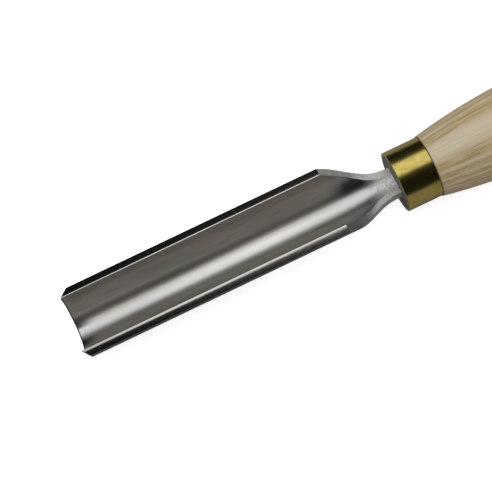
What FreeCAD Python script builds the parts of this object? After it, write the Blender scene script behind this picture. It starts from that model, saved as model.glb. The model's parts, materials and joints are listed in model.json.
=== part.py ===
import FreeCAD, Part
import math
import os
import Sketcher

# A spindle roughing gouge for wood turning: a forged steel blade whose tang is driven into a turned
# ash handle, with a brass ferrule round the handle's tenon.
#
# Tool frame, in which every piece is drawn: X runs along the handle's axis from the cutting edge (X = 0)
# to the butt, Z points out of the flute and the XZ plane is the plane of symmetry. At the end each piece
# is given the same Placement, which lays the tool down as it rests on a bench: on the heel of its bevel
# and on the swell of its handle, flute up, with the origin under the middle of the tool.

# Driving dimensions, in millimetres and degrees.
DIMENSIONS = {
    # flute: a half round trough of constant section
    "flute_outer_radius": 16.25,
    "flute_wall": 3.75,
    "flute_axis_height": 12.2,
    "rim_length": 118.3,
    "rim_slope": 17.0,
    "rim_chamfer": 0.5,
    "bevel_angle": 45.0,
    # shoulder and neck
    "blade_reach": 146.0,
    "outline_start": 117.4,
    "taper_start": 126.4,
    "taper_start_half_width": 13.84,
    "taper_end": 134.4,
    "taper_end_half_width": 9.22,
    "outline_end": 144.5,
    "neck_start": 141.0,
    "neck_half_width": 6.5,
    "neck_top": 2.65,
    # tang, a tapering bar inside the handle
    "tang_length": 85.0,
    "tang_root_half_width": 5.5,
    "tang_root_half_height": 2.0,
    "tang_tip_half_width": 2.5,
    "tang_tip_half_height": 1.6,
    # ferrule
    "ferrule_length": 15.5,
    "ferrule_outer_radius": 13.4,
    "ferrule_wall": 1.4,
    "ferrule_chamfer": 0.4,
    # handle: the places are distances behind the ferrule
    "handle_length": 262.0,
    "mouth_radius": 13.7,
    "swell_place": 51.0,
    "swell_radius": 18.7,
    "waist_place": 128.0,
    "waist_radius": 14.6,
    "belly_place": 205.0,
    "belly_radius": 16.8,
    "butt_dome": 12.0,
    "butt_corner_radius": 15.2,
    "butt_dome_radius": 12.5,
    "butt_flat_radius": 6.0,
}

# Where the flute runs out into the neck: distance from the cutting edge, channel radius, height of the
# channel's floor. The first row meets the straight flute.
CHANNEL_STATIONS = [
    ("channel_start", 120.0, 12.5, -0.3),
    ("channel_shoulder", 127.0, 11.6, -0.1),
    ("channel_waist", 134.0, 7.8, 0.5),
    ("channel_neck", 140.0, 5.4, 1.2),
    ("channel_end", 149.0, 4.6, 2.75),
]

OVERCUT = 1.0  # how far a cutting shape runs past the material it removes
SHEET = "Dimensions"


class Size:
    """A length held both as a number and as the spreadsheet formula that it comes from."""

    def __init__(self, value, formula):
        self.value = value
        self.formula = formula

    @staticmethod
    def of(number):
        return number if isinstance(number, Size) else Size(float(number), repr(float(number)))

    def joined(self, other, sign, value):
        return Size(value, f"({self.formula} {sign} {other.formula})")

    def __add__(self, other):
        other = Size.of(other)
        return self.joined(other, "+", self.value + other.value)

    def __sub__(self, other):
        other = Size.of(other)
        return self.joined(other, "-", self.value - other.value)

    def __mul__(self, other):
        other = Size.of(other)
        return self.joined(other, "*", self.value * other.value)

    def __truediv__(self, other):
        other = Size.of(other)
        return self.joined(other, "/", self.value / other.value)

    def __neg__(self):
        return Size(-self.value, f"(-1 * {self.formula})")

    def tangent(self):
        """The tangent of this size, read as an angle in degrees."""
        return Size(math.tan(math.radians(self.value)), f"tan({self.formula} * 1deg)")


ZERO = Size(0.0, "0")


def make_sheet(doc):
    """Write the driving dimensions to the spreadsheet and return each one as a Size."""
    cells = dict(DIMENSIONS)
    for name, place, radius, floor in CHANNEL_STATIONS:
        cells[name] = place
        cells[f"{name}_radius"] = radius
        cells[f"{name}_floor"] = floor
    sheet = doc.addObject("Spreadsheet::Sheet", SHEET)
    for row, (name, value) in enumerate(cells.items(), start=1):
        sheet.set(f"A{row}", name)
        sheet.set(f"B{row}", str(value))
        sheet.setAlias(f"B{row}", name)
    doc.recompute()
    return {name: Size(float(sheet.get(name)), f"{SHEET}.{name}") for name in cells}


def arc_radius(run, drop):
    """Radius of an arc that leaves one end along the run and has moved sideways by drop at the other."""
    return (run * run + drop * drop) / (drop * 2.0)


def origin_plane(body, role):
    return next(item for item in body.Origin.OriginFeatures if item.Role == role)


def new_sketch(body, name, role, offset=(None, None, None)):
    """Start a sketch on one of the body's origin planes, moved by offset in the sketch's own axes."""
    sketch = body.newObject("Sketcher::SketchObject", name)
    sketch.AttachmentSupport = (origin_plane(body, role), [""])
    sketch.MapMode = "FlatFace"
    for axis, amount in zip("xyz", offset):
        if amount is not None:
            sketch.setExpression(f"AttachmentOffset.Base.{axis}", amount.formula)
    return sketch


def pin_point(sketch, edge, end, at):
    """Hold a point of an edge at a place given by two Sizes."""
    for kind, amount, axis in (("DistanceX", at[0], -2), ("DistanceY", at[1], -1)):
        if amount.value == 0.0:
            sketch.addConstraint(Sketcher.Constraint("PointOnObject", edge, end, axis))
        else:
            made = sketch.addConstraint(Sketcher.Constraint(kind, -1, 1, edge, end, amount.value))
            sketch.setExpression(f"Constraints[{made}]", amount.formula)


def arc_through(start, end, radius):
    """Arc between two points: a positive radius turns left on the way from start to end."""
    a = FreeCAD.Vector(start[0].value, start[1].value, 0)
    b = FreeCAD.Vector(end[0].value, end[1].value, 0)
    chord = b - a
    left = FreeCAD.Vector(-chord.y, chord.x, 0).normalize()
    side = math.copysign(1.0, radius.value)
    reach = math.sqrt(max(radius.value**2 - (chord.Length / 2) ** 2, 0.0))
    centre = (a + b) * 0.5 + left * side * reach
    middle = centre - left * side * abs(radius.value)
    return Part.Arc(a, middle, b)


def draw_outline(sketch, corners):
    """Draw a closed outline. Each corner is (x, y, radius of the arc to the next corner or None)."""
    count = len(corners)
    for index, (x, y, radius) in enumerate(corners):
        end = corners[(index + 1) % count]
        if radius is None:
            start_point = FreeCAD.Vector(x.value, y.value, 0)
            edge = Part.LineSegment(start_point, FreeCAD.Vector(end[0].value, end[1].value, 0))
        else:
            edge = arc_through((x, y), end, radius)
        sketch.addGeometry(edge, False)
    ends = []
    for index, (x, y, radius) in enumerate(corners):
        # an arc of a sketch always runs counter-clockwise, so one that turns right is stored reversed
        reversed_arc = radius is not None and radius.value < 0
        ends.append((2, 1) if reversed_arc else (1, 2))
    for index, (x, y, radius) in enumerate(corners):
        following = (index + 1) % count
        sketch.addConstraint(
            Sketcher.Constraint("Coincident", index, ends[index][1], following, ends[following][0])
        )
        pin_point(sketch, index, ends[index][0], (x, y))
        if radius is not None:
            made = sketch.addConstraint(Sketcher.Constraint("Radius", index, abs(radius.value)))
            positive = radius if radius.value > 0 else -radius
            sketch.setExpression(f"Constraints[{made}]", positive.formula)


def draw_circle(sketch, centre, radius):
    middle = FreeCAD.Vector(centre[0].value, centre[1].value, 0)
    sketch.addGeometry(Part.Circle(middle, FreeCAD.Vector(0, 0, 1), radius.value), False)
    pin_point(sketch, 0, 3, centre)
    made = sketch.addConstraint(Sketcher.Constraint("Radius", 0, radius.value))
    sketch.setExpression(f"Constraints[{made}]", radius.formula)


def draw_rectangle(sketch, half_width, half_height):
    corners = [
        (-half_width, -half_height, None),
        (half_width, -half_height, None),
        (half_width, half_height, None),
        (-half_width, half_height, None),
    ]
    draw_outline(sketch, corners)


def add_feature(body, kind, name, profile, **settings):
    """Add a PartDesign feature and check that it really changed the solid."""
    before = body.Shape.Volume if body.Tip else 0.0
    feature = body.newObject(f"PartDesign::{kind}", name)
    feature.Profile = profile
    for setting, value in settings.items():
        setattr(feature, setting, value)
    profile.Document.recompute()
    if abs(body.Shape.Volume - before) < 1.0:
        raise RuntimeError(f"{name} left the volume of {body.Label} as it was")
    return feature


def mirror_cut(body, name, cut):
    """Repeat a cut on the other side of the plane of symmetry."""
    mirror = body.newObject("PartDesign::Mirrored", name)
    mirror.Originals = [cut]
    mirror.MirrorPlane = (origin_plane(body, "XZ_Plane"), [""])
    body.Tip = mirror
    body.Document.recompute()


def tang_sections(body, size):
    """The tang's root and tip sections, the same in the blade and in the handle's bore."""
    root = new_sketch(body, "tang_root", "YZ_Plane", (None, None, size["blade_reach"]))
    draw_rectangle(root, size["tang_root_half_width"], size["tang_root_half_height"])
    tip_place = size["blade_reach"] + size["tang_length"]
    tip = new_sketch(body, "tang_tip", "YZ_Plane", (None, None, tip_place))
    draw_rectangle(tip, size["tang_tip_half_width"], size["tang_tip_half_height"])
    return root, tip


def make_blade(doc, size):
    """One forging: the flute, its shoulder and neck, and the tang that the handle hides."""
    body = doc.addObject("PartDesign::Body", "blade")
    outer = size["flute_outer_radius"]
    axis_height = size["flute_axis_height"]
    reach = size["blade_reach"]
    inner = outer - size["flute_wall"]

    bar = new_sketch(body, "bar_section", "YZ_Plane")
    bar_corners = [
        (-outer, axis_height, outer),
        (ZERO, axis_height - outer, outer),
        (outer, axis_height, None),
    ]
    draw_outline(bar, bar_corners)
    pad = add_feature(body, "Pad", "half_round_bar", bar, Length=reach.value)
    pad.setExpression("Length", reach.formula)

    # each rim slopes down and outwards from the corner where it meets the inside of the flute
    rim = new_sketch(body, "rim_section", "YZ_Plane")
    rim_fall = size["rim_slope"].tangent() * (size["flute_wall"] + OVERCUT)
    rim_corners = [
        (inner, axis_height, None),
        (outer + OVERCUT, axis_height - rim_fall, None),
        (outer + OVERCUT, axis_height + OVERCUT, None),
        (inner, axis_height + OVERCUT, None),
    ]
    draw_outline(rim, rim_corners)
    sloped = add_feature(body, "Pocket", "sloped_rim", rim, Reversed=True, Type="ThroughAll")
    mirror_cut(body, "other_sloped_rim", sloped)

    flute = new_sketch(body, "flute_section", "YZ_Plane")
    draw_circle(flute, (ZERO, axis_height), inner)
    straight = size["channel_start"]
    pocket = add_feature(body, "Pocket", "flute", flute, Reversed=True, Length=straight.value)
    pocket.setExpression("Length", straight.formula)

    sections = []
    for name, *_ in CHANNEL_STATIONS:
        section = new_sketch(body, f"{name}_section", "YZ_Plane", (None, None, size[name]))
        radius = size[f"{name}_radius"]
        draw_circle(section, (ZERO, size[f"{name}_floor"] + radius), radius)
        sections.append(section)
    add_feature(body, "SubtractiveLoft", "channel_run_out", sections[0], Sections=sections[1:])

    # side view: the walls drop in one arc from the end of the rims to the top of the neck
    scoop = new_sketch(body, "shoulder_side_view", "XZ_Plane")
    drop = axis_height - size["neck_top"]
    scoop_arc = arc_radius(size["neck_start"] - size["rim_length"], drop)
    scoop_corners = [
        (size["rim_length"], axis_height, scoop_arc),
        (size["neck_start"], size["neck_top"], None),
        (reach + OVERCUT, size["neck_top"], None),
        (reach + OVERCUT, axis_height + OVERCUT, None),
        (size["rim_length"], axis_height + OVERCUT, None),
    ]
    draw_outline(scoop, scoop_corners)
    add_feature(body, "Pocket", "shoulder_drop", scoop, Type="ThroughAll", Midplane=True)

    # plan view: an arc, a straight taper and an arc take the flute's width down to the neck's
    plan = new_sketch(body, "shoulder_plan_view", "XY_Plane")
    taper_start = (size["taper_start"], size["taper_start_half_width"])
    taper_end = (size["taper_end"], size["taper_end_half_width"])
    fore_arc = arc_radius(taper_start[0] - size["outline_start"], outer - taper_start[1])
    aft_arc = arc_radius(size["outline_end"] - taper_end[0], taper_end[1] - size["neck_half_width"])
    plan_corners = [
        (size["outline_start"], outer, -fore_arc),
        (*taper_start, None),
        (*taper_end, aft_arc),
        (size["outline_end"], size["neck_half_width"], None),
        (reach + OVERCUT, size["neck_half_width"], None),
        (reach + OVERCUT, outer + OVERCUT, None),
        (size["outline_start"], outer + OVERCUT, None),
    ]
    draw_outline(plan, plan_corners)
    side = add_feature(body, "Pocket", "shoulder_side", plan, Type="ThroughAll", Midplane=True)
    mirror_cut(body, "other_shoulder_side", side)

    # the bevel is a cone about the flute's axis, which is this sketch's own horizontal axis
    bevel = new_sketch(body, "bevel_section", "XZ_Plane", (None, axis_height, None))
    slope = size["bevel_angle"].tangent()
    heel = size["flute_wall"] / slope
    bevel_corners = [
        (-Size.of(OVERCUT), -inner + slope * OVERCUT, None),
        (heel + OVERCUT, -outer - slope * OVERCUT, None),
        (-Size.of(OVERCUT), -outer - slope * OVERCUT, None),
    ]
    draw_outline(bevel, list(reversed(bevel_corners)))
    add_feature(body, "Groove", "bevel", bevel, ReferenceAxis=(bevel, ["H_Axis"]), Angle=360.0)

    tang_root, tang_tip = tang_sections(body, size)
    add_feature(body, "AdditiveLoft", "tang", tang_root, Sections=[tang_tip])

    forged = body.Tip
    chamfer = body.newObject("PartDesign::Chamfer", "rim_inner_corners")
    chamfer.Base = (forged, rim_edges(forged.Shape, inner.value, axis_height.value))
    chamfer.setExpression("Size", size["rim_chamfer"].formula)
    body.Tip = chamfer
    return body


def rim_edges(shape, half_gap, height):
    """Names of the two long edges where the rims meet the inside of the flute."""
    found = []
    for index, edge in enumerate(shape.Edges, start=1):
        box = edge.BoundBox
        level = abs(box.ZMin - height) < 0.01 and abs(box.ZMax - height) < 0.01
        inside = abs(abs(box.YMin) - half_gap) < 0.01 and box.YLength < 0.01
        if level and inside:
            found.append(f"Edge{index}")
    if len(found) != 2:
        raise RuntimeError(f"expected two inner rim edges and found {len(found)}")
    return found


def make_ferrule(doc, size):
    """A brass tube over the handle's tenon, with its front corner broken."""
    body = doc.addObject("PartDesign::Body", "ferrule")
    front = size["blade_reach"]
    back = front + size["ferrule_length"]
    outer = size["ferrule_outer_radius"]
    inner = outer - size["ferrule_wall"]
    chamfer = size["ferrule_chamfer"]
    section = new_sketch(body, "wall_section", "XZ_Plane")
    corners = [
        (front, inner, None),
        (back, inner, None),
        (back, outer, None),
        (front + chamfer, outer, None),
        (front, outer - chamfer, None),
    ]
    draw_outline(section, corners)
    add_feature(body, "Revolution", "tube", section, ReferenceAxis=(section, ["H_Axis"]), Angle=360.0)
    return body


def make_handle(doc, size):
    """Turned ash: a tenon for the ferrule, a swell, a waist, a belly and a domed butt."""
    body = doc.addObject("PartDesign::Body", "handle")
    front = size["blade_reach"]
    back = front + size["ferrule_length"]
    end = back + size["handle_length"]
    tenon = size["ferrule_outer_radius"] - size["ferrule_wall"]
    swell = (back + size["swell_place"], size["swell_radius"])
    waist = (back + size["waist_place"], size["waist_radius"])
    belly = (back + size["belly_place"], size["belly_radius"])
    corner = (end - size["butt_dome"], size["butt_corner_radius"])

    def middle(one, other):
        return ((one[0] + other[0]) / 2.0, (one[1] + other[1]) / 2.0)

    def half_arc(thick, thin):
        """Radius of each of the two equal arcs that join a thick place to a thin one."""
        run = (thin[0] - thick[0]) / 2.0
        return arc_radius(run, (thick[1] - thin[1]) / 2.0)

    fore = middle(swell, waist)
    aft = middle(waist, belly)
    fore_arc = half_arc(swell, waist)
    aft_arc = half_arc(belly, waist)
    mouth_arc = arc_radius(size["swell_place"], size["swell_radius"] - size["mouth_radius"])
    tail_arc = arc_radius(corner[0] - belly[0], belly[1] - corner[1])
    # the outline runs from the front end round the outside to the butt and back along the axis
    corners = [
        (front, ZERO, None),
        (front, tenon, None),
        (back, tenon, None),
        (back, size["mouth_radius"], -mouth_arc),
        (*swell, -fore_arc),
        (*fore, fore_arc),
        (*waist, aft_arc),
        (*aft, -aft_arc),
        (*belly, -tail_arc),
        (*corner, -size["butt_dome_radius"]),
        (end, size["butt_flat_radius"], None),
        (end, ZERO, None),
    ]
    profile = new_sketch(body, "turned_profile", "XZ_Plane")
    draw_outline(profile, corners)
    add_feature(body, "Revolution", "turning", profile, ReferenceAxis=(profile, ["H_Axis"]), Angle=360.0)
    bore_root, bore_tip = tang_sections(body, size)
    add_feature(body, "SubtractiveLoft", "tang_bore", bore_root, Sections=[bore_tip])
    return body


def rest_placement(bodies, size):
    """Lay the tool on its bevel's heel and its handle's swell, with the origin under its middle."""
    heel_x = (size["flute_wall"] / size["bevel_angle"].tangent()).value
    heel_z = (size["flute_axis_height"] - size["flute_outer_radius"]).value
    swell_x = (size["blade_reach"] + size["ferrule_length"] + size["swell_place"]).value
    swell_z = -size["swell_radius"].value
    arc = arc_radius(size["swell_place"], size["swell_radius"] - size["mouth_radius"]).value
    # the bench is the line through the heel that touches the swell's arc, centred above the tool
    to_centre = FreeCAD.Vector(swell_x - heel_x, swell_z + arc - heel_z, 0)
    pitch = math.asin(arc / to_centre.Length) - math.atan2(to_centre.y, to_centre.x)
    turn = FreeCAD.Rotation(FreeCAD.Vector(0, 1, 0), -math.degrees(pitch))
    whole = Part.makeCompound([body.Shape for body in bodies])
    whole.Placement = FreeCAD.Placement(FreeCAD.Vector(), turn)
    box = whole.optimalBoundingBox(False)
    middle = FreeCAD.Vector(box.Center.x, box.Center.y, box.ZMin)
    return FreeCAD.Placement(-middle, turn)


def check(doc, bodies):
    """Stop if any object failed to compute or any piece isn't one valid solid."""
    for item in doc.Objects:
        if "Invalid" in item.State or "Error" in item.State:
            raise RuntimeError(f"{item.Label} did not compute: {item.State}")
    for body in bodies:
        shape = body.Shape
        if shape.isNull() or not shape.isValid() or len(shape.Solids) != 1:
            raise RuntimeError(f"{body.Label} is not one valid solid")
        print(f"{body.Label}: {shape.Volume:.0f} mm3")


def main():
    doc = FreeCAD.newDocument("roughing_gouge")
    size = make_sheet(doc)
    bodies = [make_blade(doc, size), make_ferrule(doc, size), make_handle(doc, size)]
    doc.recompute()
    placement = rest_placement(bodies, size)
    for body in bodies:
        body.Placement = placement
    doc.recompute()
    check(doc, bodies)
    os.makedirs("parts", exist_ok=True)
    for body in bodies:
        body.Shape.exportStep(f"parts/{body.Label}.step")


main()
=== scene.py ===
import json
import math

import bmesh
import bpy
import numpy as np
from mathutils import Matrix, Vector


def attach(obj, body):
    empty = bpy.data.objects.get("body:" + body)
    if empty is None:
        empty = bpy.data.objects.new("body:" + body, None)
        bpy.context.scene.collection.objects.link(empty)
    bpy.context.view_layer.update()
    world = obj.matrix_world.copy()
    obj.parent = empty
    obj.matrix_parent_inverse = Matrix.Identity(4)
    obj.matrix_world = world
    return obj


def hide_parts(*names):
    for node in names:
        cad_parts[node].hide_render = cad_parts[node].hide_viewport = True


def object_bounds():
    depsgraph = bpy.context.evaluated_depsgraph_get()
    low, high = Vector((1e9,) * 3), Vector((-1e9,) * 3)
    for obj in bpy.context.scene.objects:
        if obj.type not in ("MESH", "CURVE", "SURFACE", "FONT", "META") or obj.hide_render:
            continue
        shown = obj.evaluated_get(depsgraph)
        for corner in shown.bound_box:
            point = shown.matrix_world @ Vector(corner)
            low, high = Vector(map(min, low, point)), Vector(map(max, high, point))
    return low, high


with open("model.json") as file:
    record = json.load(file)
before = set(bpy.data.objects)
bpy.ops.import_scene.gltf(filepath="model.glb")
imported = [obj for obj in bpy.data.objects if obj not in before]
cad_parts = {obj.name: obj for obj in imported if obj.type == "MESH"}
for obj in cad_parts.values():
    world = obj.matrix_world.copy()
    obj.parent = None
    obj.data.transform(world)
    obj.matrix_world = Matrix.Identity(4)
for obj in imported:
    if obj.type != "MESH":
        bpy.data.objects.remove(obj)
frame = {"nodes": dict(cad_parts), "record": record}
cad_low, cad_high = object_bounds()

# Everything is drawn in the tool's own frame, in millimetres, and then moved to the row frame, in metres.
# X runs along the handle's axis from the cutting edge (X = 0) to the butt, Z points out of the flute.
MM = 0.001

mounts = {mount["name"]: mount for mount in frame["record"]["mounts"]}
AXIS_X = Vector(mounts["butt_face"]["axis"]).normalized()
AXIS_Y = Vector((0.0, 1.0, 0.0))
AXIS_Z = AXIS_X.cross(AXIS_Y)


def tool_box(node, origin):
    """Lowest and highest corner of a CAD node in axes that lie along the tool, in millimetres."""
    places = np.array([vertex.co for vertex in frame["nodes"][node].data.vertices])
    turned = (places - np.array(origin)) @ np.array([AXIS_X, AXIS_Y, AXIS_Z]).T / MM
    return turned.min(axis=0), turned.max(axis=0)


butt_place = Vector(mounts["butt_face"]["pos_m"])
edge_to_butt = -tool_box("blade", butt_place)[0][0]
ORIGIN = butt_place - AXIS_X * edge_to_butt * MM
ALONG_TOOL = Matrix((AXIS_X, AXIS_Y, AXIS_Z)).transposed().to_4x4()
TO_ROW = Matrix.Translation(ORIGIN) @ ALONG_TOOL @ Matrix.Scale(MM, 4)

blade_low, blade_high = tool_box("blade", ORIGIN)
ferrule_low, ferrule_high = tool_box("ferrule", ORIGIN)
handle_high = tool_box("handle", ORIGIN)[1]

# Sizes of the blade, in millimetres. The first ones come from the frame.
OUTER_RADIUS = mounts["flute_underside"]["dims"]["r_mm"]
AXIS_HEIGHT = OUTER_RADIUS + float(blade_low[2])
RIM_HEIGHT = float(blade_high[2])
REACH = float(ferrule_low[0])
TANG_END = float(blade_high[0])
WALL = 3.75
INNER_RADIUS = OUTER_RADIUS - WALL
RIM_LENGTH = 118.3
OUTLINE_START = 117.4
TAPER_START = (126.4, 13.84)
TAPER_END = (134.4, 9.22)
OUTLINE_END = 144.5
NECK_START = 141.0
NECK_HALF_WIDTH = 6.5
NECK_TOP = 2.65
TANG_ROOT = (5.5, 2.0)
TANG_TIP = (2.5, 1.6)
BEVEL_FADE = 9.0  # the blade's sections straighten up over this distance behind the cutting edge
BEVEL_SHORTENING = 0.3  # how much shorter the bevel is at the -Y rim, as a share
BEVEL_EVEN_TO = -7.0  # the Y at which the shortening starts
BULGE_FADE = 8.0  # the rims' crown halves over this distance behind them
LOWEST_SIDE = 0.05  # an upright side lower than this is left out

# Softness of the section's corners, and how far along the section it reaches. The rounding of the
# shoulder's lower corner starts at one distance from the cutting edge and grows over another.
INNER_SOFTNESS = 0.28
INNER_REACH = 2.0
OUTER_SOFTNESS = 0.16
LOWER_SOFTNESS = 0.95
LOWER_REACH = 3.0
ROUNDING_START = 121.0
ROUNDING_GROWTH = 12.0

# The rims fall outwards, and a little less steeply near the flute: the slopes at the inner and outer
# corner, and the share of the rim's width over which the one turns into the other.
RIM_SLOPE_INSIDE = math.tan(math.radians(1.5))
RIM_SLOPE_OUTSIDE = math.tan(math.radians(21.0))
RIM_TURN = 0.228

BORE_SHIFT = -0.42  # along Y: how far the flute's inside lies off the middle of its outside
BORE_STRAIGHTENS = (125.0, 145.0)  # where the shift fades away, in front of the neck

# The channel's edge on the shoulder: distance from the cutting edge, half width, height, and the height
# of the channel's floor there.
CHANNEL_EDGE = [
    (118.3, 12.5, 12.2, -0.3),
    (120.0, 12.2, 10.8, -0.3),
    (124.0, 11.1, 8.2, -0.25),
    (128.0, 9.7, 5.8, -0.05),
    (132.0, 7.6, 3.7, 0.3),
    (136.0, 5.2, 2.8, 0.8),
    (140.0, 3.8, 2.3, 1.3),
    (146.0, 3.0, 2.35, 2.0),
]

# Sizes of the ferrule and the handle. The places are distances behind the ferrule.
FERRULE_BACK = float(ferrule_high[0])
FERRULE_RADIUS = mounts["ferrule_band"]["dims"]["r_mm"]
FERRULE_WALL = 1.4
TENON_RADIUS = FERRULE_RADIUS - FERRULE_WALL
HANDLE_END = float(handle_high[0])
MOUTH_RADIUS = 13.7
SWELL_PLACE = 51.0
SWELL_CLEARANCE = 0.02  # how far the swell stays inside the width of the CAD's box, to each side
SWELL_RADIUS = float(handle_high[1]) - SWELL_CLEARANCE
WAIST_PLACE = 128.0
WAIST_RADIUS = mounts["handle_grip"]["dims"]["r_mm"]
BELLY_PLACE = 205.0
BELLY_RADIUS = 16.8
BUTT_DOME = 12.0
BUTT_CORNER_RADIUS = 15.2
BUTT_DOME_RADIUS = 12.5
BUTT_FLAT_RADIUS = 6.0


# ---------------------------------------------------------------- curves


def smooth_through(places, values, at):
    """Curve through the given values with no overshoot (a monotone cubic)."""
    places, values = np.array(places), np.array(values)
    steps, rises = np.diff(places), np.diff(values) / np.diff(places)
    slopes = np.zeros(len(places))
    slopes[0], slopes[-1] = rises[0], rises[-1]
    for i in range(1, len(places) - 1):
        if rises[i - 1] * rises[i] > 0:
            first = 2 * steps[i] + steps[i - 1]
            second = steps[i] + 2 * steps[i - 1]
            slopes[i] = (first + second) / (first / rises[i - 1] + second / rises[i])
    index = int(np.clip(np.searchsorted(places, at) - 1, 0, len(steps) - 1))
    span = steps[index]
    share = (np.clip(at, places[0], places[-1]) - places[index]) / span
    return float(
        values[index] * (1 + 2 * share) * (1 - share) ** 2
        + slopes[index] * span * share * (1 - share) ** 2
        + values[index + 1] * share**2 * (3 - 2 * share)
        + slopes[index + 1] * span * share**2 * (share - 1)
    )


def arc_radius(run, drop):
    """Radius of an arc that leaves one end along the run and has moved sideways by drop at the other."""
    return (run * run + drop * drop) / (drop * 2.0)


def arc_between(start, end, radius, count):
    """Points along an arc from start up to, but without, end. A positive radius turns left."""
    a, b = np.array(start, float), np.array(end, float)
    if radius is None:
        return [a + (b - a) * k / count for k in range(count)]
    chord = b - a
    length = float(np.hypot(*chord))
    left = np.array([-chord[1], chord[0]]) / length
    side = math.copysign(1.0, radius)
    centre = (a + b) / 2 + left * side * math.sqrt(max(radius**2 - (length / 2) ** 2, 0.0))
    turn = 2 * math.asin(min(1.0, length / 2 / abs(radius))) * side
    spoke = a - centre
    points = []
    for k in range(count):
        angle = turn * k / count
        cosine, sine = math.cos(angle), math.sin(angle)
        turned_spoke = (spoke[0] * cosine - spoke[1] * sine, spoke[0] * sine + spoke[1] * cosine)
        points.append(centre + np.array(turned_spoke))
    return points


BELL_REACH = 2.2  # how far the softening looks to each side, in spreads
BELL_SAMPLES = 23


class Path:
    """An outline whose corners can be softened. It is sampled by its length from the start."""

    def __init__(self, points):
        self.points = np.array(points, float)
        gaps = np.hypot(*np.diff(self.points, axis=0).T)
        self.lengths = np.concatenate([[0.0], np.cumsum(gaps)])
        self.total = float(self.lengths[-1])

    def raw(self, place):
        return np.stack([np.interp(place, self.lengths, self.points[:, k]) for k in (0, 1)], axis=-1)

    def soft(self, places, spread):
        """Points at the places, each averaged over its surroundings with a bell curve of that spread."""
        offsets = np.linspace(-BELL_REACH, BELL_REACH, BELL_SAMPLES)
        weights = np.exp(-0.5 * offsets**2)
        weights /= weights.sum()
        spread = np.minimum(spread, np.minimum(places, self.total - places) / BELL_REACH)
        around = places[:, None] + np.maximum(spread, 0.0)[:, None] * offsets[None, :]
        return (self.raw(around) * weights[None, :, None]).sum(axis=1)


# ---------------------------------------------------------------- meshes


def join_rings(mesh, one, other, material=0):
    """Close the gap between two rings of vertices with faces of one material."""
    for k in range(len(one)):
        after = (k + 1) % len(one)
        face = mesh.faces.new((one[k], one[after], other[after], other[k]))
        face.material_index = material


def on_rectangle(y, z, half_wide, half_high):
    """The point of a rectangle's outline that lies in the same direction as (y, z)."""
    scale = 1.0 / max(abs(y) / half_wide, abs(z) / half_high)
    return y * scale, z * scale


def add_tang(mesh, start, material=0):
    """From a ring, the step to the tang's root, its tapered sides and its end: the tang or its bore."""
    previous = start
    for x, (half_wide, half_high) in ((REACH, TANG_ROOT), (TANG_END, TANG_TIP)):
        ring = []
        for vertex in start:
            y, z = on_rectangle(vertex.co.y, vertex.co.z, half_wide, half_high)
            ring.append(mesh.verts.new((x, y, z)))
        join_rings(mesh, previous, ring, material)
        previous = ring
    mesh.faces.new(previous).material_index = material


def finish_mesh(name, mesh, sharp_angle):
    """Turn a bmesh drawn in the tool's frame into an object in the row frame."""
    bmesh.ops.recalc_face_normals(mesh, faces=mesh.faces)
    data = bpy.data.meshes.new(name)
    mesh.to_mesh(data)
    mesh.free()
    places = np.zeros(len(data.vertices) * 3, np.float32)
    data.vertices.foreach_get("co", places)
    stored = data.attributes.new("tool_mm", "FLOAT_VECTOR", "POINT")
    stored.data.foreach_set("vector", places)
    data.transform(TO_ROW)
    data.shade_smooth()
    data.set_sharp_from_angle(angle=sharp_angle)
    made = bpy.data.objects.new(name, data)
    bpy.context.scene.collection.objects.link(made)
    return made


# ---------------------------------------------------------------- blade


def half_width(x):
    """Plan view of the shoulder: an arc, a straight taper and an arc down to the neck's width."""
    if x <= OUTLINE_START:
        return OUTER_RADIUS
    if x <= TAPER_START[0]:
        radius = arc_radius(TAPER_START[0] - OUTLINE_START, OUTER_RADIUS - TAPER_START[1])
        return OUTER_RADIUS - radius + math.sqrt(radius**2 - (x - OUTLINE_START) ** 2)
    if x <= TAPER_END[0]:
        share = (x - TAPER_START[0]) / (TAPER_END[0] - TAPER_START[0])
        return TAPER_START[1] + (TAPER_END[1] - TAPER_START[1]) * share
    if x <= OUTLINE_END:
        radius = arc_radius(OUTLINE_END - TAPER_END[0], TAPER_END[1] - NECK_HALF_WIDTH)
        return NECK_HALF_WIDTH + radius - math.sqrt(radius**2 - (OUTLINE_END - x) ** 2)
    return NECK_HALF_WIDTH


def rim_bulge(shares):
    """How far the rim stands above the straight line between its corners, at shares of its width."""
    settled = 1 - np.exp(-shares / RIM_TURN)
    whole = 1 - math.exp(-1 / RIM_TURN)
    return WALL * (RIM_SLOPE_OUTSIDE - RIM_SLOPE_INSIDE) * RIM_TURN * (settled - shares * whole)


def outer_corner(x):
    """Where the cut strip, or the rim, meets the outside of the blade."""
    fall = WALL * (RIM_SLOPE_OUTSIDE - (RIM_SLOPE_OUTSIDE - RIM_SLOPE_INSIDE) * RIM_TURN)
    rim_z = RIM_HEIGHT - fall
    rim_y = math.sqrt(OUTER_RADIUS**2 - fall**2)
    if x <= RIM_LENGTH:
        return min(rim_y, half_width(x)), rim_z
    radius = arc_radius(NECK_START - RIM_LENGTH, rim_z - NECK_TOP)
    z = NECK_TOP
    if x < NECK_START:
        z = NECK_TOP + radius - math.sqrt(radius**2 - (NECK_START - x) ** 2)
    on_round = math.sqrt(max(OUTER_RADIUS**2 - (AXIS_HEIGHT - z) ** 2, 0.0))
    return min(half_width(x), on_round), z


def channel_edge(x):
    """Half width and height of the channel's edge, and the height of its floor."""
    if x <= RIM_LENGTH:
        return INNER_RADIUS, RIM_HEIGHT, AXIS_HEIGHT - INNER_RADIUS
    places = [row[0] for row in CHANNEL_EDGE]
    return tuple(smooth_through(places, [row[k] for row in CHANNEL_EDGE], x) for k in (1, 2, 3))


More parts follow.
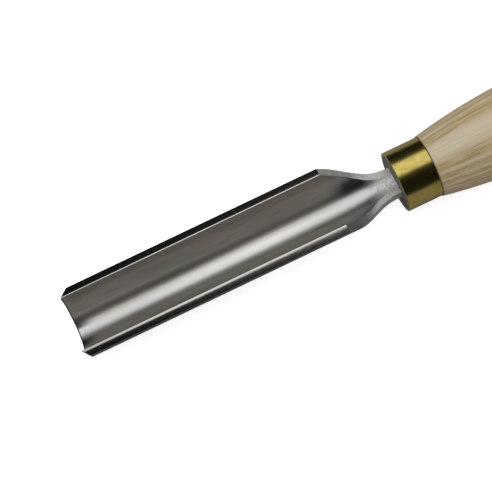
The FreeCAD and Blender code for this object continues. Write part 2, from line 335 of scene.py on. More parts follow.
ARC_STEPS = 34  # points up the inside of the flute, and as many down the outside
STRIP_STEPS = 9  # points across the cut strip between its two corners
CORNER_STEPS = np.array([-0.5, -0.32, -0.19, -0.09, 0.0, 0.09, 0.19, 0.32, 0.5])
CORNER_REACH = 0.7
INNER_CORNER = ARC_STEPS + len(CORNER_STEPS) // 2  # index in the half section of its inner corner
OUTER_CORNER = INNER_CORNER + len(CORNER_STEPS) + STRIP_STEPS

ARC_SAMPLES = 240
STRIP_SAMPLES = 60
MIRRORED_LEAD = 3.0  # a stretch past each end, mirrored, so that the softening stays even across the middle
MIRRORED_GAP = 0.05
MIRRORED_SAMPLES = 40


def sharp_section(x):
    """The half of the blade's section on +Y with sharp corners, from the channel's floor to the underside.

    Returns its path, the places along it of the floor, the inner corner, the outer corner and the
    underside, and the height of its upright side.
    """
    edge_y, edge_z, floor = channel_edge(x)
    corner_y, corner_z = outer_corner(x)
    rise = edge_z - floor
    radius = (edge_y**2 + rise**2) / (2 * rise)
    angles = np.linspace(0.0, math.atan2(edge_y, radius - rise), ARC_SAMPLES)
    inside = np.stack([radius * np.sin(angles), floor + radius - radius * np.cos(angles)], axis=1)

    shares = np.linspace(0.0, 1.0, STRIP_SAMPLES)[1:]
    past_rim = min(max((x - RIM_LENGTH) / BULGE_FADE, 0.0), 1.0)
    along = np.array([corner_y - edge_y, corner_z - edge_z])
    across = np.array([-along[1], along[0]]) / np.hypot(*along)
    strip = np.array([edge_y, edge_z]) + shares[:, None] * along
    strip = strip + (rim_bulge(shares) * (1 - 0.5 * past_rim))[:, None] * across

    bottom_z = AXIS_HEIGHT - math.sqrt(OUTER_RADIUS**2 - corner_y**2)
    side_height = corner_z - bottom_z
    side = np.zeros((0, 2))
    if side_height >= LOWEST_SIDE:
        drops = np.arange(1, STRIP_SAMPLES) / STRIP_SAMPLES
        side = np.stack([np.full(len(drops), corner_y), corner_z - side_height * drops], axis=1)
    angles = np.linspace(math.asin(min(1.0, corner_y / OUTER_RADIUS)), 0.0, ARC_SAMPLES)
    under = np.stack([OUTER_RADIUS * np.sin(angles), AXIS_HEIGHT - OUTER_RADIUS * np.cos(angles)], axis=1)

    one_side = np.concatenate([inside, strip, side, under[1:]])
    path = Path(one_side)
    leads = np.linspace(MIRRORED_LEAD, MIRRORED_GAP, MIRRORED_SAMPLES)
    before = path.raw(leads) * (-1, 1)
    after = path.raw(path.total - leads[::-1]) * (-1, 1)
    path = Path(np.concatenate([before, one_side, after]))
    counts = np.cumsum([len(before), len(inside) - 1, len(strip), len(side) + len(under) - 1])
    return path, path.lengths[counts], side_height


def half_section(x):
    """The same half of the section with softened corners, as evenly numbered points."""
    path, (floor, inner, outer, underside), side_height = sharp_section(x)
    places = np.concatenate([
        np.linspace(floor, inner - CORNER_REACH, ARC_STEPS),
        inner + CORNER_STEPS,
        np.linspace(inner + CORNER_REACH, outer - CORNER_REACH, STRIP_STEPS),
        outer + CORNER_STEPS,
        np.linspace(outer + CORNER_REACH, underside, ARC_STEPS),
    ])
    # the shoulder's lower corner is rounded more and more towards the neck
    near_lower = np.exp(-(((places - outer - side_height) / LOWER_REACH) ** 2))
    towards_neck = min(max((x - ROUNDING_START) / ROUNDING_GROWTH, 0.0), 1.0)
    room = np.abs(places - outer) / BELL_REACH
    spread = np.maximum(OUTER_SOFTNESS, np.minimum(LOWER_SOFTNESS * near_lower * towards_neck, room))
    spread = np.where(np.abs(places - inner) < INNER_REACH, INNER_SOFTNESS, spread)
    points = path.soft(places, spread)
    points[0, 0] = 0.0
    points[-1, 0] = 0.0
    return points


def blade_stations():
    """Distances from the cutting edge at which the blade's section is drawn."""
    tip = [0.0, 0.3, 0.7, 1.2, 1.8, 2.6, 3.6, 5.0, 6.8, 9.0]
    flute = list(np.linspace(12.0, 116.0, 36))
    rim_end = [RIM_LENGTH + step for step in (-1.2, -0.5, -0.2, -0.06, 0.06, 0.2, 0.5, 1.1)]
    shoulder = list(np.linspace(RIM_LENGTH + 1.7, REACH, 44))
    return tip + flute + rim_end + shoulder


def bevel_share(y):
    """Length of the bevel as a share of its full length: it is shorter at the -Y rim."""
    near_rim = min(max((BEVEL_EVEN_TO - y) / (BEVEL_EVEN_TO + OUTER_RADIUS), 0.0), 1.0)
    return 1 - BEVEL_SHORTENING * near_rim**2 * (3 - 2 * near_rim)


def bore_shift(x, place):
    """How far a point moves along Y with the flute's inside. The place counts from the floor's middle."""
    share = min(max((OUTER_CORNER - place) / (OUTER_CORNER - INNER_CORNER), 0.0), 1.0)
    fade = (BORE_STRAIGHTENS[1] - x) / (BORE_STRAIGHTENS[1] - BORE_STRAIGHTENS[0])
    return BORE_SHIFT * share * min(max(fade, 0.0), 1.0)


def blade_ring(mesh, x):
    """Vertices all round the blade's section, starting at its floor's middle and up the +Y side."""
    half = half_section(x)
    loop = [tuple(point) for point in half] + [(-y, z) for y, z in half[-2:0:-1]]
    ring = []
    for k, (y, z) in enumerate(loop):
        from_axis = math.hypot(y, z - AXIS_HEIGHT)
        shear = min(max(from_axis - INNER_RADIUS, 0.0), WALL) * max(0.0, 1 - x / BEVEL_FADE)
        shift = bore_shift(x, min(k, len(loop) - k))
        ring.append(mesh.verts.new((x + shear * bevel_share(y), y + shift, z)))
    return ring


# The blade's materials, in the order in which it is given them.
POLISHED, GROUND, RIM, BEVEL, DARK = range(5)


def surface_kind(place, past_rim):
    """Material at a place in the section, counted from the floor's middle to the underside's."""
    if place < INNER_CORNER:
        return POLISHED
    if past_rim:
        return GROUND
    return RIM if place < OUTER_CORNER else DARK


def add_bevel(mesh, front):
    """The bevel at the cutting edge: the inside of the first ring joined to its outside."""
    count = len(front)
    pairs = [(k, count // 2 - k) for k in range(INNER_CORNER)]
    faces = [(one, after, far_after, far) for (one, far), (after, far_after) in zip(pairs, pairs[1:])]
    faces.append(range(INNER_CORNER - 1, OUTER_CORNER + 2))
    for sign in (1, -1):
        for corners in faces:
            vertices = [front[(sign * k) % count] for k in corners]
            mesh.faces.new(vertices[::-sign]).material_index = BEVEL


def make_blade():
    """One forging: the flute, its shoulder and neck, and the tang inside the handle."""
    mesh = bmesh.new()
    rings = [blade_ring(mesh, x) for x in blade_stations()]
    count = len(rings[0])
    for behind, ahead in zip(rings, rings[1:]):
        for k in range(count):
            after = (k + 1) % count
            face = mesh.faces.new((behind[k], behind[after], ahead[after], ahead[k]))
            face.material_index = surface_kind(min(k, count - 1 - k), behind[k].co.x >= RIM_LENGTH)
    add_bevel(mesh, rings[0])
    add_tang(mesh, rings[-1], GROUND)
    return finish_mesh("blade_forging", mesh, sharp_angle=math.radians(32.0))


# ---------------------------------------------------------------- turned pieces

AROUND = 128
EDGE_STEPS = np.array([-0.3, -0.18, -0.08, 0.0, 0.08, 0.18, 0.3])  # rings about a turned edge
EDGE_GAP = 0.5  # from a turned edge to the even rings beside it

FERRULE_SOFTNESS = 0.13
FERRULE_POINTS = 120  # points along each side of its profile
FERRULE_OVERLAP = 40  # points past the profile's start, so that its first corner is softened too
LENGTH_RINGS = 14
WALL_RINGS = 4

# Softness of the handle's outline: all along it, about its mouth and towards its butt, and how far
# along the outline from the mouth and from the end of the butt the last two reach.
HANDLE_SOFTNESS = 0.1
MOUTH_SOFTNESS = 0.22
MOUTH_REACH = 3.0
BUTT_SOFTNESS = 0.5
BUTT_REACH = 40.0

# Rings of the handle: along the tenon, about the mouth, along the body and over the butt, which are
# the outline's last millimetres.
TENON_RINGS = 8
MOUTH_STEPS = (-0.7, -0.45, *EDGE_STEPS, 0.45, 0.7, 1.1, 1.7)
BODY_START = 2.5
BODY_RINGS = 150
BUTT_OUTLINE = 30.0
BUTT_RINGS = 60
RING_GAP = 0.4


def turned(mesh, profile, closed):
    """Rings of faces round the X axis along a profile of (x, radius) points."""
    rings = []
    for x, radius in profile:
        ring = []
        for k in range(AROUND):
            angle = 2 * math.pi * k / AROUND
            ring.append(mesh.verts.new((x, radius * math.cos(angle), radius * math.sin(angle))))
        rings.append(ring)
    pairs = list(zip(rings, rings[1:]))
    if closed:
        pairs.append((rings[-1], rings[0]))
    for one, other in pairs:
        join_rings(mesh, one, other)
    return rings


def make_ferrule():
    """A brass tube with its ends' corners broken."""
    bore, outside = TENON_RADIUS, FERRULE_RADIUS
    corners = [(REACH, bore), (FERRULE_BACK, bore), (FERRULE_BACK, outside), (REACH, outside)]
    points = []
    for corner, following in zip(corners, corners[1:] + corners[:1]):
        points += arc_between(corner, following, None, FERRULE_POINTS)
    path = Path(points + points[:FERRULE_OVERLAP])
    sides = [(FERRULE_BACK - REACH, LENGTH_RINGS), (FERRULE_WALL, WALL_RINGS)] * 2
    places = []
    start = 0.0
    for side, count in sides:
        places += list(np.linspace(start + EDGE_GAP, start + side - EDGE_GAP, count))
        start += side
        places += list(start + EDGE_STEPS)
    mesh = bmesh.new()
    turned(mesh, path.soft(np.array(places), FERRULE_SOFTNESS), closed=True)
    return finish_mesh("ferrule_band", mesh, sharp_angle=math.radians(50.0))


def handle_outline():
    """The handle's outside as a list of (x, radius) points, from the tenon's front to the butt."""
    back = FERRULE_BACK
    swell = (back + SWELL_PLACE, SWELL_RADIUS)
    waist = (back + WAIST_PLACE, WAIST_RADIUS)
    belly = (back + BELLY_PLACE, BELLY_RADIUS)
    corner = (HANDLE_END - BUTT_DOME, BUTT_CORNER_RADIUS)

    def middle(one, other):
        return ((one[0] + other[0]) / 2, (one[1] + other[1]) / 2)

    def half_arc(thick, thin):
        return arc_radius((thin[0] - thick[0]) / 2, (thick[1] - thin[1]) / 2)

    fore_arc, aft_arc = half_arc(swell, waist), half_arc(belly, waist)
    mouth_arc = arc_radius(SWELL_PLACE, SWELL_RADIUS - MOUTH_RADIUS)
    tail_arc = arc_radius(corner[0] - belly[0], belly[1] - corner[1])
    stretches = [
        (REACH, TENON_RADIUS, None, 30),
        (back, TENON_RADIUS, None, 30),
        (back, MOUTH_RADIUS, -mouth_arc, 400),
        (*swell, -fore_arc, 300),
        (*middle(swell, waist), fore_arc, 300),
        (*waist, aft_arc, 300),
        (*middle(waist, belly), -aft_arc, 300),
        (*belly, -tail_arc, 400),
        (*corner, -BUTT_DOME_RADIUS, 120),
        (HANDLE_END, BUTT_FLAT_RADIUS, None, 60),
        (HANDLE_END, 0.0, None, 0),
    ]
    points = []
    for (x, r, radius, count), following in zip(stretches, stretches[1:]):
        points += arc_between((x, r), following[:2], radius, count)
    points.append(np.array([HANDLE_END, 0.0]))
    return points


# The handle's materials, in the order in which it is given them.
LONG_GRAIN, END_GRAIN = range(2)


def make_handle():
    """Turned ash: tenon, swell, waist, belly and a domed butt, with the tang's bore in its front."""
    path = Path(handle_outline())
    tenon = FERRULE_BACK - REACH
    mouth = tenon + MOUTH_RADIUS - TENON_RADIUS
    places = list(np.linspace(0.0, tenon - RING_GAP, TENON_RINGS)) + [tenon, tenon + 0.6]
    places += [mouth + step for step in MOUTH_STEPS]
    places += list(np.linspace(mouth + BODY_START, path.total - BUTT_OUTLINE, BODY_RINGS))
    places += list(np.linspace(path.total - BUTT_OUTLINE + 1.0, path.total - RING_GAP, BUTT_RINGS))
    places = np.array(places)
    spread = np.where(np.abs(places - mouth) < MOUTH_REACH, MOUTH_SOFTNESS, HANDLE_SOFTNESS)
    spread = np.where(places > path.total - BUTT_REACH, BUTT_SOFTNESS, spread)
    mesh = bmesh.new()
    rings = turned(mesh, path.soft(places, spread), closed=False)
    mesh.faces.new(rings[-1])
    add_tang(mesh, rings[0])
    for face in mesh.faces:
        at_front = max(vertex.co.x for vertex in face.verts) < REACH + 0.2
        face.material_index = END_GRAIN if at_front else LONG_GRAIN
    return finish_mesh("handle_turning", mesh, sharp_angle=math.radians(40.0))


# ---------------------------------------------------------------- materials


class Surface:
    """A material with one Principled shader, and short ways to add nodes to it."""

    def __init__(self, name, **sockets):
        self.material = bpy.data.materials.new(name)
        self.material.use_nodes = True
        self.tree = self.material.node_tree
        self.shader = self.tree.nodes["Principled BSDF"]
        for socket, value in sockets.items():
            self.shader.inputs[socket.replace("_", " ")].default_value = value

    def node(self, kind, inputs=None, **settings):
        made = self.tree.nodes.new(kind)
        for setting, value in settings.items():
            setattr(made, setting, value)
        for socket, value in (inputs or {}).items():
            if isinstance(value, bpy.types.NodeSocket):
                self.tree.links.new(value, made.inputs[socket])
            else:
                made.inputs[socket].default_value = value
        return made

    def place(self, scale=(1.0, 1.0, 1.0), shift=(0.0, 0.0, 0.0), source=None):
        """A place times a scale along each axis: by default the tool's frame, in millimetres."""
        if source is None:
            source = self.node("ShaderNodeAttribute", attribute_name="tool_mm").outputs["Vector"]
        moved = self.node("ShaderNodeMapping", {"Vector": source, "Scale": scale, "Location": shift})
        return moved.outputs["Vector"]

    def axes(self):
        """X, Y and Z in the tool's frame, in millimetres."""
        apart = self.node("ShaderNodeSeparateXYZ", {0: self.place()})
        return [apart.outputs[axis] for axis in "XYZ"]

    def noise(self, scale, shift=(0.0, 0.0, 0.0), detail=3.0, roughness=0.55, source=None):
        """Noise from 0 to 1, with that many features per millimetre along each axis."""
        inputs = {
            "Vector": self.place(scale, shift, source),
            "Scale": 1.0,
            "Detail": detail,
            "Roughness": roughness,
        }
        return self.node("ShaderNodeTexNoise", inputs).outputs["Fac"]

    def spread(self, value, low, high, to_low=0.0, to_high=1.0):
        """Stretch the range low..high of a value to to_low..to_high."""
        made = self.node(
            "ShaderNodeMapRange",
            {"Value": value, "From Min": low, "From Max": high, "To Min": to_low, "To Max": to_high},
        )
        return made.outputs["Result"]

    def ramp(self, value, stops):
        """Follow a list of (value, level) stops, with levels from 0 to 1."""
        low, high = stops[0][0], stops[-1][0]
        made = self.node("ShaderNodeValToRGB", {"Fac": self.spread(value, low, high)})
        elements = made.color_ramp.elements
        elements[0].color = (*[stops[0][1]] * 3, 1.0)
        elements[1].color = (*[stops[-1][1]] * 3, 1.0)
        for place, level in stops[1:-1]:
            elements.new((place - low) / (high - low)).color = (*[level] * 3, 1.0)
        return made.outputs["Color"]

    def calc(self, one, other, operation="ADD"):
        return self.node("ShaderNodeMath", {0: one, 1: other}, operation=operation).outputs[0]

    def times(self, one, other):
        return self.calc(one, other, "MULTIPLY")

    def band(self, value, rise, fall):
        """0 outside a band of the value and 1 within it, changing over the rise and the fall."""
        return self.times(self.spread(value, *rise), self.spread(value, *fall, 1.0, 0.0))

    def mix(self, share, one, other):
        made = self.node("ShaderNodeMix", {"Factor": share}, data_type="RGBA")
        for socket, value in ((made.inputs[6], one), (made.inputs[7], other)):
            if isinstance(value, bpy.types.NodeSocket):
                self.tree.links.new(value, socket)
            else:
                socket.default_value = (*value, 1.0)
        return made.outputs[2]

    def bump(self, height, distance):
        """A normal for relief whose highest points stand out by the distance, in metres."""
        return self.node("ShaderNodeBump", {"Height": height, "Distance": distance}).outputs["Normal"]

    def drive(self, socket, value):
        self.tree.links.new(value, self.shader.inputs[socket])


# Where the blade's looks change: each pair is the start and the end of a gradual change, in millimetres.
FILM_STARTS = (2.2, 6.0)  # from the polished stripe's centre, to either side
FILM_ENDS = (116.0, 126.0)  # from the cutting edge, as are the ones below
TIP_PAINTED_DARK_ENDS = (1.2, 7.5)
CUTTING_EDGE_LINE_ENDS = (0.35, 0.7)
GRINDING_STARTS = (133.0, 142.0)
SHOULDER_PAINTED_SHADE_ENDS = (124.0, 136.0)
RIM_DARKENING_FADES = (0.0, 45.0)

STRIPE_CENTRE = -1.1  # the polished stripe lies a little to one side of the flute's floor

# How much brighter the stripe's steel is painted, at distances from the cutting edge: a painted highlight,
# dim at the tip and brightest past the middle.
STRIPE_PAINTED_HIGHLIGHT = [(0.0, 0.0), (30.0, 0.05), (60.0, 0.5), (88.0, 0.9), (110.0, 0.3), (125.0, 0.0)]

# How much darker the steel is painted, at distances from the stripe's centre towards +Y: painted dark
# reflections, in bands beside the highlight and over the -Y wall.
FLUTE_PAINTED_REFLECTION = [
    (-12.0, 0.46), (-5.0, 0.43), (-3.2, 0.27), (-2.2, 0.0), (4.0, 0.0), (5.4, 0.48),
    (6.1, 0.6), (6.8, 0.52), (8.2, 0.04), (9.4, 0.0), (10.6, 0.12), (12.5, 0.27),
]


def polished_steel():
    """Inside of the flute: a polished stripe along its floor, and walls dulled by a thin stained film."""
    steel = Surface("steel_polished", Metallic=1.0)
    streaks = steel.noise((0.03, 3.0, 3.0), detail=5.0, roughness=0.7)
    stains = steel.noise((0.03, 0.3, 0.3), shift=(3.0, 1.0, 2.0), detail=4.0)
    polished = steel.mix(steel.spread(stains, 0.35, 0.65), (0.60, 0.59, 0.58), (0.66, 0.65, 0.63))
    darkened = steel.mix(steel.spread(stains, 0.38, 0.62), (0.35, 0.345, 0.29), (0.475, 0.43, 0.385))
    x, y, _ = steel.axes()
    # painted highlight: the stripe is painted brighter along the middle of the flute
    polished = steel.mix(steel.ramp(x, STRIPE_PAINTED_HIGHLIGHT), polished, (0.80, 0.785, 0.755))
    off_centre = steel.calc(y, -STRIPE_CENTRE)
    from_stripe = steel.calc(off_centre, 0.0, "ABSOLUTE")
    ragged = steel.calc(from_stripe, steel.spread(stains, 0.3, 0.7, -0.5, 0.5))
    filmed = steel.times(steel.spread(ragged, *FILM_STARTS), steel.spread(x, *FILM_ENDS, 1.0, 0.0))
    tone = steel.mix(filmed, polished, darkened)
    # painted reflection: dark bands beside the highlight and over the -Y wall are darkened into the colour
    tone = steel.mix(steel.ramp(off_centre, FLUTE_PAINTED_REFLECTION), tone, (0.0, 0.0, 0.0))
    # painted dark reflections in the corners where the stripe's sides meet the cutting edge, and a dark line
    # along the edge
    corners = steel.band(ragged, (2.2, 3.4), (5.5, 7.5))
    # painted reflection: the highlight's dark flanks at the tip are darkened into the colour
    tip_painted_dark = steel.times(steel.spread(x, *TIP_PAINTED_DARK_ENDS, 0.94, 0.0), corners)
    tone = steel.mix(tip_painted_dark, tone, (0.04, 0.045, 0.045))
    tone = steel.mix(steel.spread(x, *CUTTING_EDGE_LINE_ENDS, 1.0, 0.0), tone, (0.03, 0.05, 0.055))
    # towards the neck the polish gives way to rough grinding
    ground = steel.spread(x, *GRINDING_STARTS)
    speckle = steel.noise((1.3, 1.3, 1.3), shift=(5.0, 0.0, 0.0), detail=3.0)
    speckled = steel.mix(steel.spread(speckle, 0.42, 0.6), (0.52, 0.51, 0.495), (0.80, 0.785, 0.76))
    steel.drive("Base Color", steel.mix(ground, tone, speckled))
    steel.drive("Metallic", steel.spread(steel.calc(filmed, ground, "MAXIMUM"), 0.0, 1.0, 1.0, 0.6))
    smooth = steel.spread(streaks, 0.3, 0.7, 0.31, 0.38)
    steel.drive("Roughness", steel.calc(smooth, steel.times(ground, 0.2)))
    relief = steel.calc(steel.times(streaks, 0.1), steel.times(ground, speckle))
    steel.drive("Normal", steel.bump(relief, 0.00004))
    return steel.material


def ground_steel():
    """Shoulder, neck and tang: ground across, left rough."""
    steel = Surface("steel_ground", Metallic=0.75)
    scores = steel.noise((5.0, 0.35, 0.35), detail=4.0, roughness=0.7)
    speckle = steel.noise((1.4, 1.4, 1.4), shift=(5.0, 0.0, 0.0), detail=3.0)
    both = steel.calc(scores, speckle)
    tone = steel.mix(steel.spread(both, 0.75, 1.25), (0.40, 0.39, 0.37), (0.74, 0.72, 0.69))
    # painted shade: the shoulder is painted darker on its -Y side
    x, y, _ = steel.axes()
    one_side = steel.spread(y, -6.0, 0.0, 1.0, 0.0)
    darkened = steel.times(steel.spread(x, *SHOULDER_PAINTED_SHADE_ENDS, 0.6, 0.0), one_side)
    steel.drive("Base Color", steel.mix(darkened, tone, (0.03, 0.03, 0.03)))
    steel.drive("Roughness", steel.spread(speckle, 0.3, 0.7, 0.42, 0.58))
    steel.drive("Normal", steel.bump(both, 0.00005))
    return steel.material


def rim_steel():
    """The rims: ground smooth, darker towards the cutting edge and a little coarser towards the shoulder."""
    steel = Surface("steel_rim", Metallic=1.0)
    x = steel.axes()[0]
    settled = steel.spread(x, *RIM_DARKENING_FADES)
    steel.drive("Base Color", steel.mix(settled, (0.40, 0.39, 0.38), (0.58, 0.57, 0.55)))
    scores = steel.noise((1.6, 0.5, 0.5), detail=4.0)
    coarser = steel.spread(x, 30.0, RIM_LENGTH, 0.13, 0.24)
    steel.drive("Roughness", steel.calc(coarser, steel.spread(scores, 0.3, 0.7, -0.025, 0.025)))
    steel.drive("Normal", steel.bump(scores, 0.000003))
    return steel.material


def dark_steel():
    """Outside of the flute: dark steel rubbed lengthwise; its darkness is partly a painted reflection of the
    shadowed floor beneath it.
    """
    steel = Surface("steel_dark", Metallic=1.0)
    streaks = steel.noise((0.05, 1.5, 1.5), detail=4.0, roughness=0.6)
    clouds = steel.noise((0.03, 0.12, 0.12), shift=(2.0, 0.0, 5.0), detail=3.0)
    both = steel.calc(steel.times(streaks, 0.5), clouds)
    # partly painted reflection: the dark tone stands in for the shadowed floor that the outside mirrors
    tone = steel.mix(steel.spread(both, 0.55, 0.95), (0.10, 0.10, 0.095), (0.21, 0.205, 0.195))
    steel.drive("Base Color", tone)
    steel.drive("Roughness", steel.spread(streaks, 0.3, 0.7, 0.3, 0.42))
    steel.drive("Normal", steel.bump(streaks, 0.000003))
    return steel.material


def bevel_steel():
    """The bevel at the cutting edge: ground round the edge."""
    steel = Surface("steel_bevel", Metallic=1.0, Base_Color=(0.34, 0.37, 0.38, 1.0))
    scores = steel.noise((1.5, 1.5, 1.5), detail=5.0, roughness=0.7)
    steel.drive("Roughness", steel.spread(scores, 0.3, 0.7, 0.24, 0.4))
    steel.drive("Normal", steel.bump(scores, 0.000008))
    return steel.material


def brass():
    """Polished brass with faint cloudy patches."""
    metal = Surface("brass_polished", Metallic=1.0)
    clouds = metal.noise((0.25, 0.45, 0.45), detail=4.0, roughness=0.6)
    tone = metal.mix(metal.spread(clouds, 0.35, 0.65), (0.50, 0.385, 0.10), (0.61, 0.50, 0.155))
    metal.drive("Base Color", tone)
    turning = metal.noise((5.0, 0.06, 0.06), detail=3.0)
    metal.drive("Roughness", metal.spread(turning, 0.3, 0.7, 0.21, 0.26))
    metal.drive("Normal", metal.bump(turning, 0.000001))
    return metal.material


# The growth rings run along the handle. The tree's own centre line lies outside the handle, so that one
# side shows a plain stripe and the sides show closely spaced rings.
TREE_CENTRE = (10.0, -65.0)
RING_WIDTH = 2.3
RING_SHIFT = 0.97
GRAIN_RADIUS = 16.0  # the grain follows the handle's swell as if the handle had this radius
GRAIN_CORE = 12.0  # nearer the axis than this, at the butt, the grain runs straight on
SEAM_FADES = (0.2, 0.5)  # where the dark seam behind the ferrule starts and stops fading
EARLY_GROWTH = [(0.0, 0.0), (0.06, 1.0), (0.66, 0.85), (0.84, 0.0), (1.0, 0.0)]  # across one ring


def ash():
    """Ash: pale wood whose early growth is a band of short open pores."""
    wood = Surface("ash_lacquered", Coat_Weight=0.12, Coat_Roughness=0.25)
    x, y, z = wood.axes()
    from_axis = wood.calc(wood.calc(wood.times(y, y), wood.times(z, z)), 0.5, "POWER")
    stretch = wood.calc(GRAIN_RADIUS, wood.calc(from_axis, GRAIN_CORE, "MAXIMUM"), "DIVIDE")
    across, up = wood.times(y, stretch), wood.times(z, stretch)
    grain = wood.node("ShaderNodeCombineXYZ", {"X": x, "Y": across, "Z": up}).outputs["Vector"]

    wander = wood.noise((0.012, 0.06, 0.06), detail=2.0, source=grain)
    over, above = wood.calc(across, -TREE_CENTRE[0]), wood.calc(up, -TREE_CENTRE[1])
    square = wood.calc(wood.times(over, over), wood.times(above, above))
    flicker = wood.noise((0.06, 0.5, 0.5), detail=3.0, source=grain)
    bend = wood.calc(wood.spread(wander, 0.0, 1.0, -0.6, 0.6), wood.spread(flicker, 0.0, 1.0, -0.35, 0.35))
    ring_place = wood.calc(wood.calc(square, 0.5, "POWER"), bend)
    phase = wood.calc(wood.times(wood.calc(ring_place, RING_SHIFT), 1 / RING_WIDTH), 0.0, "FRACT")
    early = wood.ramp(phase, EARLY_GROWTH)
    pores = wood.noise((0.08, 2.2, 2.2), detail=3.0, roughness=0.65, source=grain)
    dashes = wood.times(wood.spread(pores, 0.47, 0.58), early)
    fibre = wood.noise((0.05, 2.2, 2.2), shift=(9.0, 3.0, 0.0), detail=4.0, source=grain)
    clouds = wood.noise((0.02, 0.09, 0.09), shift=(1.0, 7.0, 0.0), detail=2.0, source=grain)
    pale = wood.mix(wood.spread(clouds, 0.35, 0.65), (0.50, 0.425, 0.30), (0.465, 0.395, 0.275))
    warm = wood.mix(wood.times(early, 0.85), pale, (0.42, 0.33, 0.165))
    grained = wood.mix(wood.spread(fibre, 0.35, 0.65, 0.0, 0.4), warm, (0.34, 0.255, 0.135))
    tone = wood.mix(wood.times(dashes, 0.8), grained, (0.27, 0.17, 0.045))
    # painted shade in the seam behind the ferrule
    seam = wood.spread(x, FERRULE_BACK + SEAM_FADES[0], FERRULE_BACK + SEAM_FADES[1], 0.8, 0.0)
    wood.drive("Base Color", wood.mix(seam, tone, (0.06, 0.04, 0.02)))
    wood.drive("Roughness", wood.spread(fibre, 0.3, 0.7, 0.38, 0.5))
    relief = wood.calc(wood.times(fibre, 0.3), dashes, "SUBTRACT")
    wood.drive("Normal", wood.bump(relief, 0.00004))
    return wood.material


def ash_end_grain():
    """The tenon's sawn front inside the ferrule: end grain, greyer than the sides, and painted darker as the
    shade it lies in.
    """
    wood = Surface("ash_end_grain", Roughness=0.7)
    pores = wood.noise((0.5, 3.5, 3.5), detail=4.0, roughness=0.7)
    # partly painted shade: the end grain is painted darker than its own colour
    tone = wood.mix(wood.spread(pores, 0.35, 0.65), (0.10, 0.092, 0.08), (0.19, 0.175, 0.15))
    wood.drive("Base Color", tone)
    wood.drive("Normal", wood.bump(pores, 0.00005))
    return wood.material


def pale_floor():
    """Bright paper: part of its light is its own, as where an exposure burns out, so shadows stay faint."""
    floor = Surface("floor_paper", Roughness=0.9, Base_Color=(0.8, 0.8, 0.8, 1.0))
    floor.shader.inputs["Emission Color"].default_value = (1.0, 1.0, 1.0, 1.0)
    floor.shader.inputs["Emission Strength"].default_value = 0.7
    return floor.material


def grey_table():
    """What the metal sees below it: the table under the paper, darker than the burnt-out paper."""
    return Surface("table_grey", Roughness=0.9, Base_Color=(0.3, 0.3, 0.3, 1.0)).material


# ---------------------------------------------------------------- assembly

blade = make_blade()
for material in (polished_steel(), ground_steel(), rim_steel(), bevel_steel(), dark_steel()):
    blade.data.materials.append(material)
ferrule = make_ferrule()
ferrule.data.materials.append(brass())
handle = make_handle()
for material in (ash(), ash_end_grain()):
    handle.data.materials.append(material)

for piece, node, slot in (
    (blade, "blade", "blade_steel"),
    (ferrule, "ferrule", "ferrule_brass"),
    (handle, "handle", "handle_ash"),
):
    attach(piece, "root")
    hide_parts(node)


# ---------------------------------------------------------------- floor, light and camera

FLOOR_SIZE = 12.0
TABLE_GAP = 0.0005


def make_floor(name, height, material):
    mesh = bmesh.new()
    bmesh.ops.create_grid(mesh, x_segments=4, y_segments=4, size=FLOOR_SIZE / 2)
    data = bpy.data.meshes.new(name)
    mesh.to_mesh(data)
    mesh.free()
    made = bpy.data.objects.new(name, data)
    bpy.context.scene.collection.objects.link(made)
    made.location = (0.0, 0.0, height)
    made.data.materials.append(material)
    return made


ROOM_LIGHT = 0.8
ROOM_MIRRORED = 0.013


def make_room():
    """A room that lights the wood evenly but is dark where the metal mirrors it, and white to the camera."""
    world = bpy.data.worlds.new("studio")
    world.use_nodes = True
    tree = world.node_tree
    background = tree.nodes["Background"]
    background.inputs["Color"].default_value = (1.0, 1.0, 1.0, 1.0)
    ray = tree.nodes.new("ShaderNodeLightPath")
    level = tree.nodes.new("ShaderNodeMapRange")
    level.inputs["To Min"].default_value = ROOM_LIGHT
    level.inputs["To Max"].default_value = ROOM_MIRRORED
    seen = tree.nodes.new("ShaderNodeMath")
    seen.operation = "MAXIMUM"
    tree.links.new(ray.outputs["Is Glossy Ray"], level.inputs["Value"])
    tree.links.new(level.outputs["Result"], seen.inputs[0])
    tree.links.new(ray.outputs["Is Camera Ray"], seen.inputs[1])
    tree.links.new(seen.outputs[0], background.inputs["Strength"])
    bpy.context.scene.world = world


LIGHT_TARGET = (90.0, 0.0, 0.0)  # in the tool's frame
LIGHT_DISTANCE = 1.2
LIGHT_TILT = math.radians(12.5)  # from straight out of the flute towards +Y
LIGHT_HALF_ANGLE = math.radians(24.0)
LIGHT_LENGTH = 1.6
LIGHT_POWER = 6.2


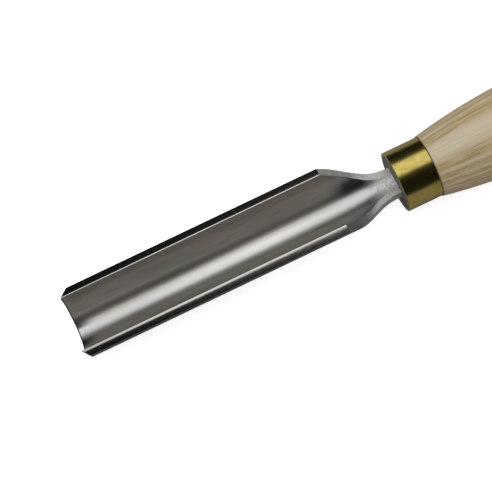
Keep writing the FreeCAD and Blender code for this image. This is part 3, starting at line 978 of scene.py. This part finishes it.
def make_softbox():
    """A long softbox over the flute, in line with it."""
    towards_light = (AXIS_Y * math.sin(LIGHT_TILT) + AXIS_Z * math.cos(LIGHT_TILT)).normalized()
    light = bpy.data.lights.new("softbox", "AREA")
    light.shape = "RECTANGLE"
    light.size = LIGHT_LENGTH
    light.size_y = 2 * LIGHT_DISTANCE * math.tan(LIGHT_HALF_ANGLE)
    light.energy = LIGHT_POWER
    softbox = bpy.data.objects.new("softbox", light)
    bpy.context.scene.collection.objects.link(softbox)
    facing = Matrix((AXIS_X, towards_light.cross(AXIS_X), towards_light)).transposed().to_4x4()
    place = TO_ROW @ Vector(LIGHT_TARGET) + towards_light * LIGHT_DISTANCE
    softbox.matrix_world = Matrix.Translation(place) @ facing
    softbox.visible_camera = False


# The camera's angles are about the tool's own frame: at azimuth 0 it looks along the tool's Y.
CAMERA_TARGET = (78.29, 0.0, 6.66)  # in the tool's frame
CAMERA_AZIMUTH = math.radians(2.2)
CAMERA_ELEVATION = math.radians(64.98)
CAMERA_ROLL = math.radians(-23.5)
CAMERA_DISTANCE = 0.5242
CAMERA_LENS = 93.17
SENSOR_WIDTH = 36.0
NEAREST_SEEN = 0.01


def make_camera():
    """The camera, looking down on the flute from the -Y side."""
    level_share, down_share = math.cos(CAMERA_ELEVATION), math.sin(CAMERA_ELEVATION)
    looking = (
        AXIS_X * (math.sin(CAMERA_AZIMUTH) * level_share)
        + AXIS_Y * (math.cos(CAMERA_AZIMUTH) * level_share)
        - AXIS_Z * down_share
    )
    sideways = looking.cross(AXIS_Z).normalized()
    lens = bpy.data.cameras.new("camera")
    lens.lens = CAMERA_LENS
    lens.sensor_width = SENSOR_WIDTH
    lens.clip_start = NEAREST_SEEN
    camera = bpy.data.objects.new("camera", lens)
    bpy.context.scene.collection.objects.link(camera)
    place = TO_ROW @ Vector(CAMERA_TARGET) - looking * CAMERA_DISTANCE
    upright = Matrix((sideways, sideways.cross(looking), -looking)).transposed().to_4x4()
    camera.matrix_world = Matrix.Translation(place) @ upright @ Matrix.Rotation(CAMERA_ROLL, 4, "Z")
    bpy.context.scene.camera = camera


# the camera sees the paper, and everything else is lit by and mirrors the table
paper = make_floor("paper", cad_low.z, pale_floor())
paper.visible_glossy = False
paper.visible_diffuse = False
paper.visible_shadow = False
table = make_floor("table", cad_low.z - TABLE_GAP, grey_table())
table.visible_camera = False

make_room()
make_softbox()
make_camera()
bpy.context.scene.view_settings.view_transform = "Standard"
